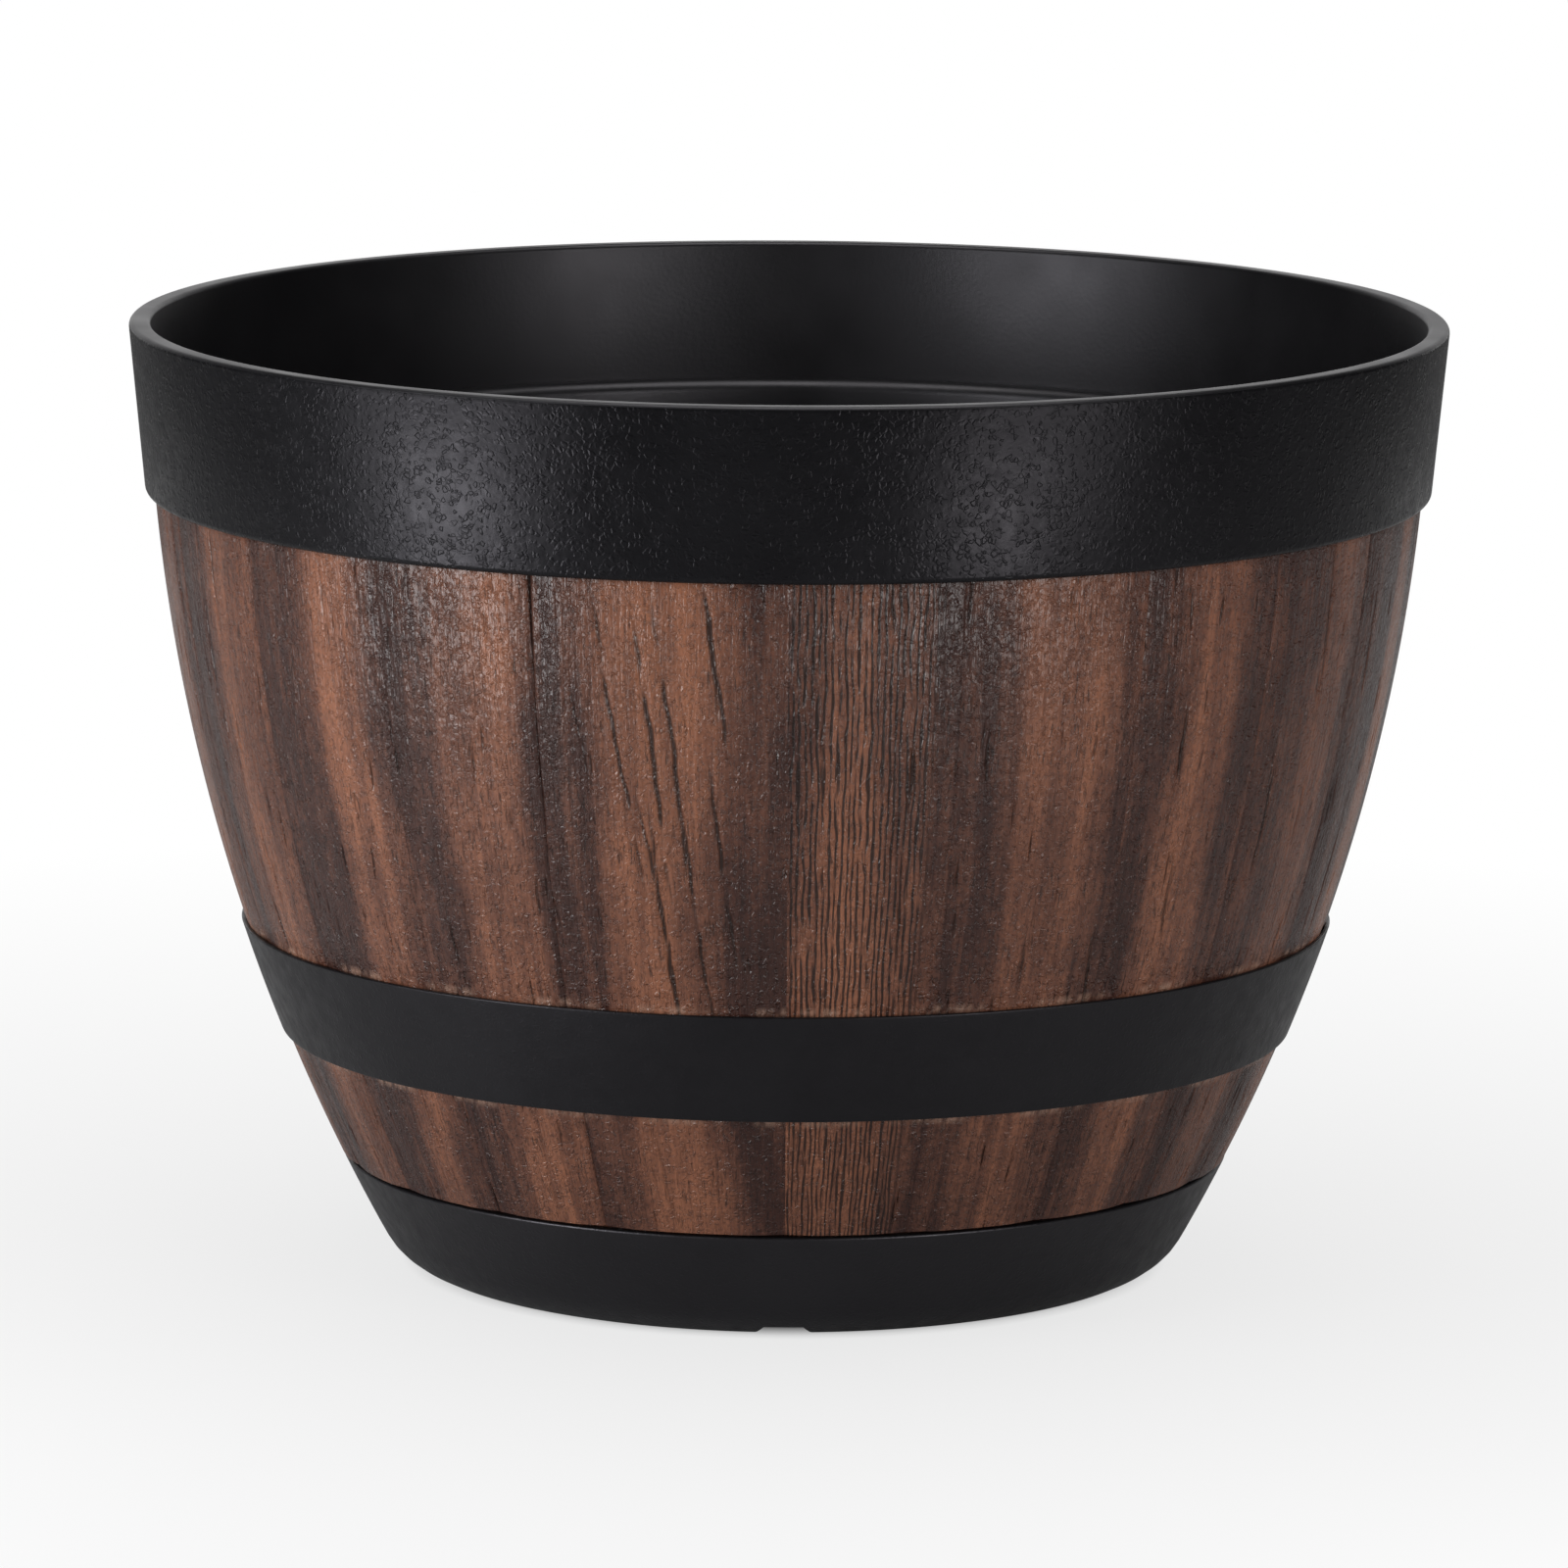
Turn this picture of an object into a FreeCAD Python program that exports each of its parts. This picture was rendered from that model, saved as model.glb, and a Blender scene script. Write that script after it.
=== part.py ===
import FreeCAD, Part
import math
import os

import Sketcher

# Barrel planter: staves stand in a rebated base shoe, a hoop and a rim collar bind them,
# and a drop-in liner hangs by its flange on the stave tops. Millimetres, origin on the
# floor under the middle, +Z up, the front towards -Y.

doc = FreeCAD.newDocument("barrel_planter")
sheet = doc.addObject("Spreadsheet::Sheet", "Sizes")

driving_sizes = [
    ("height", "221", "floor to the top of the rim"),
    ("rim_diameter", "305", "outside of the collar at its top"),
    ("rim_overhang", "4.1", "collar top beyond the wall's widest radius, each side"),
    ("rim_land", "5", "width of the collar's flat top"),
    ("rim_round", "1.2", "rounding of the collar's top edges"),
    ("bulge_radius", "445", "radius of the wall's curve from top to bottom"),
    ("ledge_depth", "33", "rim top down to the liner's flange"),
    ("skirt_lap", "4.5", "how far the collar's skirt hangs over the staves"),
    ("skirt_thickness", "1.9", "collar's skirt at its lower edge"),
    ("skirt_round", "1.5", "rounding of the skirt's lower outer edge"),
    ("fit_clearance", "0.2", "between the staves and what binds them"),
    ("stave_thickness", "6", "stave, face to back"),
    ("stave_sets", "3", "sets of seven staves round the wall"),
    ("stave_share_1", "22.9", "widths within a set, as shares of it"),
    ("stave_share_2", "15.3", "second stave of a set"),
    ("stave_share_3", "17.6", "third stave of a set"),
    ("stave_share_4", "15.4", "fourth stave of a set"),
    ("stave_share_5", "15.7", "fifth stave of a set"),
    ("stave_share_6", "17.3", "sixth stave of a set"),
    ("stave_share_7", "15.8", "seventh stave of a set"),
    ("first_joint", "-22.8", "degrees from the front to the first set's first joint"),
    ("joint_gap", "0.2", "between neighbouring staves"),
    ("arris", "0.7", "chamfer along each stave's long outer edges"),
    ("hoop_level", "56", "floor to the hoop's lower edge"),
    ("hoop_width", "25.5", "hoop, lower edge to upper edge"),
    ("hoop_thickness", "0.9", "hoop strip"),
    ("hoop_clearance", "0.1", "between the hoop and the staves"),
    ("hoop_edge", "0.3", "chamfer on the hoop's outer edges"),
    ("base_height", "26.4", "floor to the top of the base's lip"),
    ("lap_depth", "8", "stave tongue into the base"),
    ("lip_thickness", "2.8", "base's lip outside the tongues"),
    ("shadow_gap", "0.7", "between the lip and the staves' shoulders"),
    ("foot_thickness", "4", "flange that the base stands on"),
    ("foot_width", "16.5", "foot flange, from the wall's foot inwards"),
    ("foot_round", "14", "rounded corner between wall and foot"),
    ("notch_count", "4", "drain notches under the foot flange"),
    ("notch_width", "17.6", "notch at the ground"),
    ("notch_crown", "9", "notch at its top"),
    ("notch_height", "2.7", "notch above the ground"),
    ("flange_thickness", "2", "liner's flange"),
    ("flange_bearing", "2.7", "flange on the stave tops"),
    ("lift_clearance", "0.4", "between the edge of the flange and the collar"),
    ("flange_round", "3", "roll from the flange into the liner's wall"),
    ("liner_gap", "1", "between the liner and the staves"),
    ("liner_wall", "2.5", "liner's wall"),
    ("liner_floor", "3", "liner's floor"),
    ("liner_corner", "10", "outside rounding between the liner's wall and floor"),
    ("drain_space", "4", "liner's floor above the foot flange"),
    ("drain_count", "4", "drain holes in the liner's floor"),
    ("drain_diameter", "12", "drain hole"),
    ("drain_circle", "100", "diameter of the ring of drain holes"),
]
for row, (alias, value, note) in enumerate(driving_sizes, start=1):
    sheet.set(f"A{row}", note)
    sheet.set(f"B{row}", value)
    sheet.setAlias(f"B{row}", alias)
doc.recompute()

staves_in_set = 7
full_turn = 360

# Levels above the floor, as formulas on the sheet.
rim_top = "Sizes.height"
flange_top = "Sizes.height - Sizes.ledge_depth"
stave_top = f"{flange_top} - Sizes.flange_thickness"
skirt_edge = f"{stave_top} - Sizes.skirt_lap"
hoop_top = "Sizes.hoop_level + Sizes.hoop_width"
lip_top = "Sizes.base_height"
shoulder = "Sizes.base_height + Sizes.shadow_gap"
seat = "Sizes.base_height - Sizes.lap_depth"
foot_top = "Sizes.foot_thickness"
liner_bottom = f"{foot_top} + Sizes.drain_space"
liner_floor_top = f"{liner_bottom} + Sizes.liner_floor"

# Depths inwards from the wall's outer face.
tongue_face = "Sizes.lip_thickness + Sizes.fit_clearance"
stave_back = "Sizes.stave_thickness"
liner_face = "Sizes.stave_thickness + Sizes.liner_gap"
liner_inside = f"{liner_face} + Sizes.liner_wall"
skirt_inside = "-Sizes.fit_clearance"
hoop_inside = "-Sizes.hoop_clearance"
hoop_face = "-Sizes.hoop_clearance - Sizes.hoop_thickness"

# The wall's curve is one arc, widest level with the rim's top.
wall_radius = "Sizes.rim_diameter / 2 - Sizes.rim_overhang"
curve_centre = f"{wall_radius} - Sizes.bulge_radius"


def curve_radius(depth):
    return f"Sizes.bulge_radius - ({depth})"


def wall(depth, level):
    """Radius of the wall's curve, set in by a depth from its outer face, at a level above the floor."""
    return f"{curve_centre} + sqrt(({curve_radius(depth)})^2 - (Sizes.height - ({level}))^2)"


collar_foot = f"{wall('0', skirt_edge)} + Sizes.fit_clearance + Sizes.skirt_thickness"
flange_edge = f"{wall(stave_back, stave_top)} + Sizes.flange_bearing"
collar_mouth = f"{flange_edge} + Sizes.lift_clearance"
foot_inside = f"{wall('0', '0')} - Sizes.foot_width"


def worth(formula):
    """A formula's value with the sheet as it stands."""
    return float(sheet.evalExpression(formula))


def new_body(label):
    body = doc.addObject("PartDesign::Body", label)
    body.Label = label
    return body


def origin_plane(body, role):
    return next(plane for plane in body.Origin.OriginFeatures if plane.Role == role)


def new_sketch(body, name, role):
    sketch = body.newObject("Sketcher::SketchObject", name)
    sketch.AttachmentSupport = (origin_plane(body, role), [""])
    sketch.MapMode = "FlatFace"
    return sketch


def bind(sketch, constraint, formula):
    index = sketch.addConstraint(constraint)
    sketch.setExpression(f"Constraints[{index}]", formula)


def pin(sketch, edge, end, across, up):
    """Fixes one end of a sketch edge at a distance across and up from the sketch's origin."""
    origin = (-1, 1)
    horizontal_axis_index = -1
    vertical_axis_index = -2
    if across == "0":
        sketch.addConstraint(Sketcher.Constraint("PointOnObject", edge, end, vertical_axis_index))
    else:
        bind(sketch, Sketcher.Constraint("DistanceX", *origin, edge, end, worth(across)), across)
    if up == "0":
        sketch.addConstraint(Sketcher.Constraint("PointOnObject", edge, end, horizontal_axis_index))
    else:
        bind(sketch, Sketcher.Constraint("DistanceY", *origin, edge, end, worth(up)), up)


def draw_outline(sketch, corners):
    """A closed outline. Each corner is (across, up, depth): the edge to the next corner follows
    the wall's curve at that depth, or is straight where the depth is None."""
    start_index = 1
    end_index = 2
    points = [FreeCAD.Vector(worth(across), worth(up), 0) for across, up, depth in corners]
    first_ends = []
    for index, (across, up, depth) in enumerate(corners):
        here = points[index]
        there = points[(index + 1) % len(points)]
        if depth is None:
            edge = sketch.addGeometry(Part.LineSegment(here, there))
            first_ends.append((edge, start_index, end_index))
            continue
        middle = FreeCAD.Vector(worth(curve_centre), worth(rim_top), 0)
        circle = Part.Circle(middle, FreeCAD.Vector(0, 0, 1), worth(curve_radius(depth)))
        angles = [math.atan2(point.y - middle.y, point.x - middle.x) for point in (here, there)]
        edge = sketch.addGeometry(Part.ArcOfCircle(circle, min(angles), max(angles)))
        upwards = there.y > here.y
        first_ends.append((edge, start_index, end_index) if upwards else (edge, end_index, start_index))
        bind(sketch, Sketcher.Constraint("Radius", edge, circle.Radius), curve_radius(depth))
    for index, (edge, near, far) in enumerate(first_ends):
        next_edge, next_near, next_far = first_ends[(index + 1) % len(first_ends)]
        sketch.addConstraint(Sketcher.Constraint("Coincident", edge, far, next_edge, next_near))
    for (edge, near, far), (across, up, depth) in zip(first_ends, corners):
        pin(sketch, edge, near, across, up)


def turn(body, corners, angle=None):
    """Turns a half section about the upright axis, all the way round or by an angle's formula."""
    section = new_sketch(body, f"{body.Label}_section", "XZ_Plane")
    draw_outline(section, corners)
    turned = body.newObject("PartDesign::Revolution", f"{body.Label}_turned")
    turned.Profile = section
    turned.ReferenceAxis = (section, ["V_Axis"])
    if angle is None:
        turned.Angle = full_turn
    else:
        turned.Midplane = True
        turned.setExpression("Angle", angle)
    section.Visibility = False
    doc.recompute()
    return turned


def ring_edges(feature, across, up):
    """Names of the level circles at a radius and a height."""
    near = 0.001
    names = []
    for number, edge in enumerate(feature.Shape.Edges, start=1):
        if not isinstance(edge.Curve, Part.Circle):
            continue
        point = edge.Vertexes[0].Point
        level = abs(edge.Curve.Axis.z) > 1 - near
        if level and abs(math.hypot(point.x, point.y) - worth(across)) < near:
            if abs(point.z - worth(up)) < near:
                names.append(f"Edge{number}")
    return names


def dress(body, kind, feature, edges, alias_formula):
    """Rounds or chamfers the named edges by a formula's size."""
    eased = body.newObject(f"PartDesign::{kind}", f"{body.Label}_{kind.lower()}")
    eased.Base = (feature, edges)
    eased.setExpression("Radius" if kind == "Fillet" else "Size", alias_formula)
    doc.recompute()
    return eased


def cut_round(body, sketch, count, both_ways):
    """Cuts a sketch through the body, then repeats the cut round the upright axis."""
    before = body.Shape.Volume
    cut = body.newObject("PartDesign::Pocket", f"{sketch.Label}_cut")
    cut.Profile = sketch
    cut.Type = "ThroughAll"
    cut.Midplane = both_ways
    cut.Reversed = not both_ways
    sketch.Visibility = False
    doc.recompute()
    repeat = body.newObject("PartDesign::PolarPattern", f"{sketch.Label}_round")
    repeat.Originals = [cut]
    upright = next(axis for axis in body.Origin.OriginFeatures if axis.Role == "Z_Axis")
    repeat.Axis = (upright, [""])
    repeat.Angle = full_turn
    repeat.setExpression("Occurrences", count)
    body.Tip = repeat
    doc.recompute()
    if body.Shape.Volume >= before:
        raise RuntimeError(f"{sketch.Label} cut nothing")


def drain_holes(body):
    """A ring of holes through the floor, the first on the front side."""
    sketch = new_sketch(body, f"{body.Label}_drains", "XY_Plane")
    radius = "Sizes.drain_diameter / 2"
    middle = FreeCAD.Vector(0, -worth("Sizes.drain_circle / 2"), 0)
    hole = sketch.addGeometry(Part.Circle(middle, FreeCAD.Vector(0, 0, 1), worth(radius)))
    centre_index = 3
    pin(sketch, hole, centre_index, "0", "-Sizes.drain_circle / 2")
    bind(sketch, Sketcher.Constraint("Radius", hole, worth(radius)), radius)
    cut_round(body, sketch, "Sizes.drain_count", both_ways=True)


def make_rim_collar():
    """The top band: its underside sits on the outer half of the stave tops, its skirt outside them."""
    body = new_body("rim_collar")
    rim_outside = "Sizes.rim_diameter / 2"
    rim_inside = f"{rim_outside} - Sizes.rim_land"
    turned = turn(body, [
        (rim_inside, rim_top, None),
        (rim_outside, rim_top, None),
        (collar_foot, skirt_edge, None),
        (wall(skirt_inside, skirt_edge), skirt_edge, skirt_inside),
        (wall(skirt_inside, stave_top), stave_top, None),
        (collar_mouth, stave_top, None),
    ])
    top_edges = ring_edges(turned, rim_inside, rim_top) + ring_edges(turned, rim_outside, rim_top)
    rounded = dress(body, "Fillet", turned, top_edges, "Sizes.rim_round")
    dress(body, "Fillet", rounded, ring_edges(rounded, collar_foot, skirt_edge), "Sizes.skirt_round")


def make_stave(label, width, middle):
    """One bulging, tapered stave with a rebated tongue for the base and chamfered long edges."""
    body = new_body(label)
    gap_angle = f"Sizes.joint_gap / ({wall_radius}) * 180 / pi"
    turned = turn(body, [
        (wall(stave_back, stave_top), stave_top, None),
        (wall("0", stave_top), stave_top, "0"),
        (wall("0", shoulder), shoulder, None),
        (wall(tongue_face, shoulder), shoulder, tongue_face),
        (wall(tongue_face, seat), seat, None),
        (wall(stave_back, seat), seat, stave_back),
    ], f"{width} - {gap_angle}")
    near = 0.001
    face_edges = [
        f"Edge{number}" for number, edge in enumerate(turned.Shape.Edges, start=1)
        if isinstance(edge.Curve, Part.Circle) and abs(edge.Curve.Axis.z) < near
        and abs(edge.Curve.Radius - worth("Sizes.bulge_radius")) < near
    ]
    dress(body, "Chamfer", turned, face_edges, "Sizes.arris")
    body.Placement = FreeCAD.Placement(FreeCAD.Vector(), FreeCAD.Rotation(FreeCAD.Vector(0, 0, 1), 1))
    body.setExpression("Placement.Rotation.Angle", middle)


def make_staves():
    """Sets of seven staves of differing widths, counted rightwards from the first joint."""
    shares = [f"Sizes.stave_share_{number}" for number in range(1, staves_in_set + 1)]
    all_shares = "(" + " + ".join(shares) + ")"
    set_angle = f"({full_turn} / Sizes.stave_sets)"
    front_from_x = -90
    for set_number in range(round(worth("Sizes.stave_sets"))):
        for place, share in enumerate(shares):
            passed = " + ".join(["0"] + shares[:place])
            width = f"{set_angle} * {share} / {all_shares}"
            start = f"{front_from_x} + Sizes.first_joint + {set_angle} * {set_number}"
            middle = f"{start} + {set_angle} * ({passed} + {share} / 2) / {all_shares}"
            make_stave(f"stave_{set_number * staves_in_set + place + 1:02d}", width, middle)


def make_lower_hoop():
    """A flared strip that follows the wall's curve, driven up from the narrow end."""
    body = new_body("lower_hoop")
    lower = "Sizes.hoop_level"
    turned = turn(body, [
        (wall(hoop_inside, hoop_top), hoop_top, None),
        (wall(hoop_face, hoop_top), hoop_top, hoop_face),
        (wall(hoop_face, lower), lower, None),
        (wall(hoop_inside, lower), lower, hoop_inside),
    ])
    outer_edges = ring_edges(turned, wall(hoop_face, hoop_top), hoop_top)
    outer_edges += ring_edges(turned, wall(hoop_face, lower), lower)
    dress(body, "Chamfer", turned, outer_edges, "Sizes.hoop_edge")


def make_base_shoe():
    """A ring that carries on the wall's curve: lip and seat for the tongues, and a notched foot flange."""
    body = new_body("base_shoe")
    lip = "Sizes.lip_thickness"
    turned = turn(body, [
        (wall(lip, lip_top), lip_top, None),
        (wall("0", lip_top), lip_top, "0"),
        (wall("0", "0"), "0", None),
        (foot_inside, "0", None),
        (foot_inside, foot_top, None),
        (wall(stave_back, foot_top), foot_top, stave_back),
        (wall(stave_back, seat), seat, None),
        (wall(lip, seat), seat, lip),
    ])
    dress(body, "Fillet", turned, ring_edges(turned, wall("0", "0"), "0"), "Sizes.foot_round")
    notch = new_sketch(body, "foot_notch", "XZ_Plane")
    below = "-Sizes.notch_height"
    draw_outline(notch, [
        ("-Sizes.notch_crown / 2", "Sizes.notch_height", None),
        ("Sizes.notch_crown / 2", "Sizes.notch_height", None),
        ("Sizes.notch_width / 2", "0", None),
        ("Sizes.notch_width / 2", below, None),
        ("-Sizes.notch_width / 2", below, None),
        ("-Sizes.notch_width / 2", "0", None),
    ])
    cut_round(body, notch, "Sizes.notch_count", both_ways=False)


def make_liner():
    """The drop-in tub: a flange on the inner half of the stave tops, a tapering wall, a drained floor."""
    body = new_body("liner")
    turned = turn(body, [
        (wall(liner_inside, flange_top), flange_top, None),
        (flange_edge, flange_top, None),
        (flange_edge, stave_top, None),
        (wall(liner_face, stave_top), stave_top, liner_face),
        (wall(liner_face, liner_bottom), liner_bottom, None),
        ("0", liner_bottom, None),
        ("0", liner_floor_top, None),
        (wall(liner_inside, liner_floor_top), liner_floor_top, liner_inside),
    ])
    roll = ring_edges(turned, wall(liner_inside, flange_top), flange_top)
    rolled = dress(body, "Fillet", turned, roll, "Sizes.flange_round")
    outside = ring_edges(rolled, wall(liner_face, liner_bottom), liner_bottom)
    cornered = dress(body, "Fillet", rolled, outside, "Sizes.liner_corner")
    inside = ring_edges(cornered, wall(liner_inside, liner_floor_top), liner_floor_top)
    dress(body, "Fillet", cornered, inside, "Sizes.liner_corner - Sizes.liner_wall")
    drain_holes(body)


make_base_shoe()
make_staves()
make_lower_hoop()
make_rim_collar()
make_liner()
doc.recompute()

for item in doc.Objects:
    if {"Invalid", "Error"} & set(item.State):
        raise RuntimeError(f"{item.Label} failed: {item.State}")
bodies = [item for item in doc.Objects if item.TypeId == "PartDesign::Body"]
for body in bodies:
    if body.Shape.isNull() or not body.Shape.isValid() or len(body.Shape.Solids) != 1:
        raise RuntimeError(f"{body.Label} is not one sound solid")
os.makedirs("parts", exist_ok=True)
for body in bodies:
    body.Shape.exportStep(f"parts/{body.Label}.step")
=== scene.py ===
import math

import bpy
import numpy as np
from mathutils import Matrix, Vector


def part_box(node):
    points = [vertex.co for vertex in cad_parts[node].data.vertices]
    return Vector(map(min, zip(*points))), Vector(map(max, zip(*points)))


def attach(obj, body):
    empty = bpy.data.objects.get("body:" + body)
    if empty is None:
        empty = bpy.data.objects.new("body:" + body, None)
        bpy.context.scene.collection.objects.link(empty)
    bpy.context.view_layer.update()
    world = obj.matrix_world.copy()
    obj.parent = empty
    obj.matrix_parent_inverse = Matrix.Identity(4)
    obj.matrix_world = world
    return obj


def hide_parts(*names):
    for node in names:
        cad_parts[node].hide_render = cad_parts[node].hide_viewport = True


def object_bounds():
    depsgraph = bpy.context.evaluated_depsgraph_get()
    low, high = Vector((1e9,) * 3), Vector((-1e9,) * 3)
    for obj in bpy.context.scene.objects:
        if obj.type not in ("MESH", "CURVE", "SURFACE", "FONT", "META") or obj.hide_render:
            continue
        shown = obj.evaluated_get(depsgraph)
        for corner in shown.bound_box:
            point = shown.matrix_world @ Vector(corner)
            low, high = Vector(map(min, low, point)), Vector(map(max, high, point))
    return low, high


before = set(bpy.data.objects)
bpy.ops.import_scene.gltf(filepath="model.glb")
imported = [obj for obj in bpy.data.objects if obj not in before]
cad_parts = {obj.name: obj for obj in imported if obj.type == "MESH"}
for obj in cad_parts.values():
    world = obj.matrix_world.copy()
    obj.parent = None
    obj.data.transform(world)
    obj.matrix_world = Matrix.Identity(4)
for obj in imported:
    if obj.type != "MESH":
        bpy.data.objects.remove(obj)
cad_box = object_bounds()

# Base shoe: a moulded ring of grained black plastic that carries the wall's curve down to the ground.
# Its lip stands round the staves' tongues, a flange turned inwards is the foot,
# and four shallow notches under the foot let water out.
height = cad_box[1].z
wall_radius = 0.1484
bulge_radius = 0.445
curve_centre = wall_radius - bulge_radius
ring_steps = 240
merge_distance = 1e-6
smooth_angle = math.radians(40)
shoe_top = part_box("base_shoe")[1].z
shoe_edge = 0.0005
shoe_face_top = shoe_top - 0.003
shoe_face_foot = 0.0095
shoe_face_steps = 10
shoe_back_steps = 6
seat_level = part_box("stave_01")[0].z
stave_thickness = 0.006
lip_thickness = 0.0028
foot_thickness = 0.004
foot_inside = 0.0731
foot_round = 0.014
notch_count = 4
notch_width = 0.0176
notch_crown = 0.009
notch_height = 0.0027
notch_overrun = 0.02


def wall(depth, level):
    """Radius of the wall at a level, at a depth in from the staves' faces."""
    return curve_centre + math.sqrt((bulge_radius - depth) ** 2 - (height - level) ** 2)


def along_wall(depth, first, last, steps):
    """Outline corners that follow the wall's curve from one level to another."""
    levels = [first + (last - first) * step / steps for step in range(steps + 1)]
    return [(wall(depth, level), level, 0) for level in levels]


def soften(corners, steps=6):
    """The outline's points, with each corner that has a rounding drawn as a short arc."""
    points = []
    for index, (across, up, rounding) in enumerate(corners):
        corner = Vector((across, up))
        if rounding == 0:
            points.append(corner)
            continue
        before = (Vector(corners[index - 1][:2]) - corner).normalized()
        after = (Vector(corners[(index + 1) % len(corners)][:2]) - corner).normalized()
        half = before.angle(after) / 2
        centre = corner + (before + after).normalized() * rounding / math.sin(half)
        start = corner + before * rounding / math.tan(half) - centre
        finish = corner + after * rounding / math.tan(half) - centre
        points += [centre + start.slerp(finish, step / steps) * rounding for step in range(steps + 1)]
    return points


def draw_section(name, corners):
    """Half a section in the XZ plane, drawn by extruding one point from corner to corner."""
    outline = soften(corners)
    on_axis = outline[0].x == 0
    bpy.ops.object.select_all(action="DESELECT")
    bpy.ops.mesh.primitive_plane_add()
    section = bpy.context.object
    section.name = name
    section.data.name = name
    bpy.ops.object.mode_set(mode="EDIT")
    bpy.ops.mesh.select_all(action="SELECT")
    bpy.ops.mesh.merge(type="CENTER")
    bpy.ops.transform.translate(value=(outline[0].x, 0, outline[0].y))
    for here, there in zip(outline, outline[1:] + ([] if on_axis else outline[:1])):
        run = there - here
        bpy.ops.mesh.extrude_vertices_move(TRANSFORM_OT_translate={"value": (run.x, 0, run.y)})
    bpy.ops.mesh.select_all(action="SELECT")
    bpy.ops.mesh.remove_doubles(threshold=merge_distance)
    bpy.ops.object.mode_set(mode="OBJECT")
    return section


def turn(piece, steps, sweep=math.tau):
    """Spins a half section about the upright axis, and closes the seam or the two ends."""
    bpy.ops.object.select_all(action="DESELECT")
    bpy.context.view_layer.objects.active = piece
    piece.select_set(True)
    bpy.ops.object.mode_set(mode="EDIT")
    bpy.ops.mesh.select_all(action="SELECT")
    bpy.ops.mesh.spin(steps=steps, angle=sweep, center=(0, 0, 0), axis=(0, 0, 1))
    bpy.ops.mesh.select_all(action="SELECT")
    bpy.ops.mesh.remove_doubles(threshold=merge_distance)
    bpy.ops.mesh.fill_holes(sides=0)
    bpy.ops.mesh.select_all(action="SELECT")
    bpy.ops.mesh.normals_make_consistent(inside=False)
    bpy.ops.object.mode_set(mode="OBJECT")
    bpy.ops.object.shade_smooth_by_angle(angle=smooth_angle)


def cut_away(piece, cutter, angle):
    """Cuts a cutter out of a piece, turned about the upright axis, and cleans and shades the piece again."""
    turned = cutter.copy()
    turned.data = cutter.data.copy()
    turned.data.transform(Matrix.Rotation(angle, 4, "Z"))
    bpy.context.collection.objects.link(turned)
    cut = piece.modifiers.new("cut", "BOOLEAN")
    cut.operation = "DIFFERENCE"
    cut.solver = "EXACT"
    cut.object = turned
    bpy.ops.object.select_all(action="DESELECT")
    bpy.context.view_layer.objects.active = piece
    piece.select_set(True)
    bpy.ops.object.modifier_apply(modifier=cut.name)
    bpy.data.objects.remove(turned)
    bpy.ops.object.mode_set(mode="EDIT")
    bpy.ops.mesh.select_all(action="SELECT")
    bpy.ops.mesh.remove_doubles(threshold=merge_distance)
    bpy.ops.mesh.dissolve_degenerate(threshold=merge_distance)
    bpy.ops.object.mode_set(mode="OBJECT")
    bpy.ops.object.shade_smooth_by_angle(angle=smooth_angle)


base_shoe = draw_section(
    "shoe_ring",
    [(wall(lip_thickness, shoe_top), shoe_top, shoe_edge), (wall(0, shoe_top), shoe_top, shoe_edge)]
    + along_wall(0, shoe_face_top, shoe_face_foot, shoe_face_steps)
    + [(wall(0, 0), 0, foot_round), (foot_inside, 0, shoe_edge)]
    + [(foot_inside, foot_thickness, shoe_edge)]
    + along_wall(stave_thickness, foot_thickness, seat_level, shoe_back_steps)
    + [(wall(lip_thickness, seat_level), seat_level, 0)],
)
turn(base_shoe, ring_steps)
bpy.ops.object.select_all(action="DESELECT")
bpy.ops.mesh.primitive_cube_add(size=1)
notch = bpy.context.object
notch_length = wall(0, 0) - foot_inside + 2 * notch_overrun
notch.dimensions = (notch_width, notch_length, 2 * notch_height)
notch.location = (0, -(wall(0, 0) + foot_inside) / 2, 0)
bpy.ops.object.transform_apply(location=True, scale=True)
bpy.ops.object.mode_set(mode="EDIT")
bpy.ops.mesh.select_all(action="DESELECT")
bpy.ops.object.mode_set(mode="OBJECT")
for corner in notch.data.vertices:
    corner.select = corner.co.z > 0
bpy.ops.object.mode_set(mode="EDIT")
bpy.ops.transform.resize(value=(notch_crown / notch_width, 1, 1))
bpy.ops.object.mode_set(mode="OBJECT")
for number in range(notch_count):
    cut_away(base_shoe, notch, math.tau * number / notch_count)
bpy.data.objects.remove(notch)

dusty_black = [(0.0048, 0.0047, 0.0053, 1), (0.0075, 0.0074, 0.0082, 1)]
black_tint = (0.98, 0.92, 1.0, 1)
dust_scale = 34.0
dust_detail = 6
gloss_scale = 260.0
gloss_detail = 3
gloss_gain = 0.05
gloss_loss = 0.07
patch_edges = (0.3, 0.7)
pebble_drift = 0.6
pebble_detail = 1
pebble_groove = 0.26
lowest_pebble = 0.2
drift_height = 0.9
shoe_dullness = 0.36
shoe_shine = 0.46
fine_grain = 0.0010
faint_relief = 0.00003


def set_inputs(material, made, inputs):
    """Sets a node's inputs by name or number, or links those that another node gives."""
    for socket, value in inputs.items():
        if isinstance(value, bpy.types.NodeSocket):
            material.node_tree.links.new(value, made.inputs[socket])
        else:
            made.inputs[socket].default_value = value


def node(material, kind, inputs=None, **settings):
    """Adds a shader node with its settings and inputs."""
    made = material.node_tree.nodes.new(kind)
    for setting, value in settings.items():
        setattr(made, setting, value)
    set_inputs(material, made, inputs or {})
    return made


def maths(material, operation, *values):
    """One sum, product or other step between sockets and numbers."""
    return node(material, "ShaderNodeMath", dict(enumerate(values)), operation=operation).outputs[0]


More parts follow.
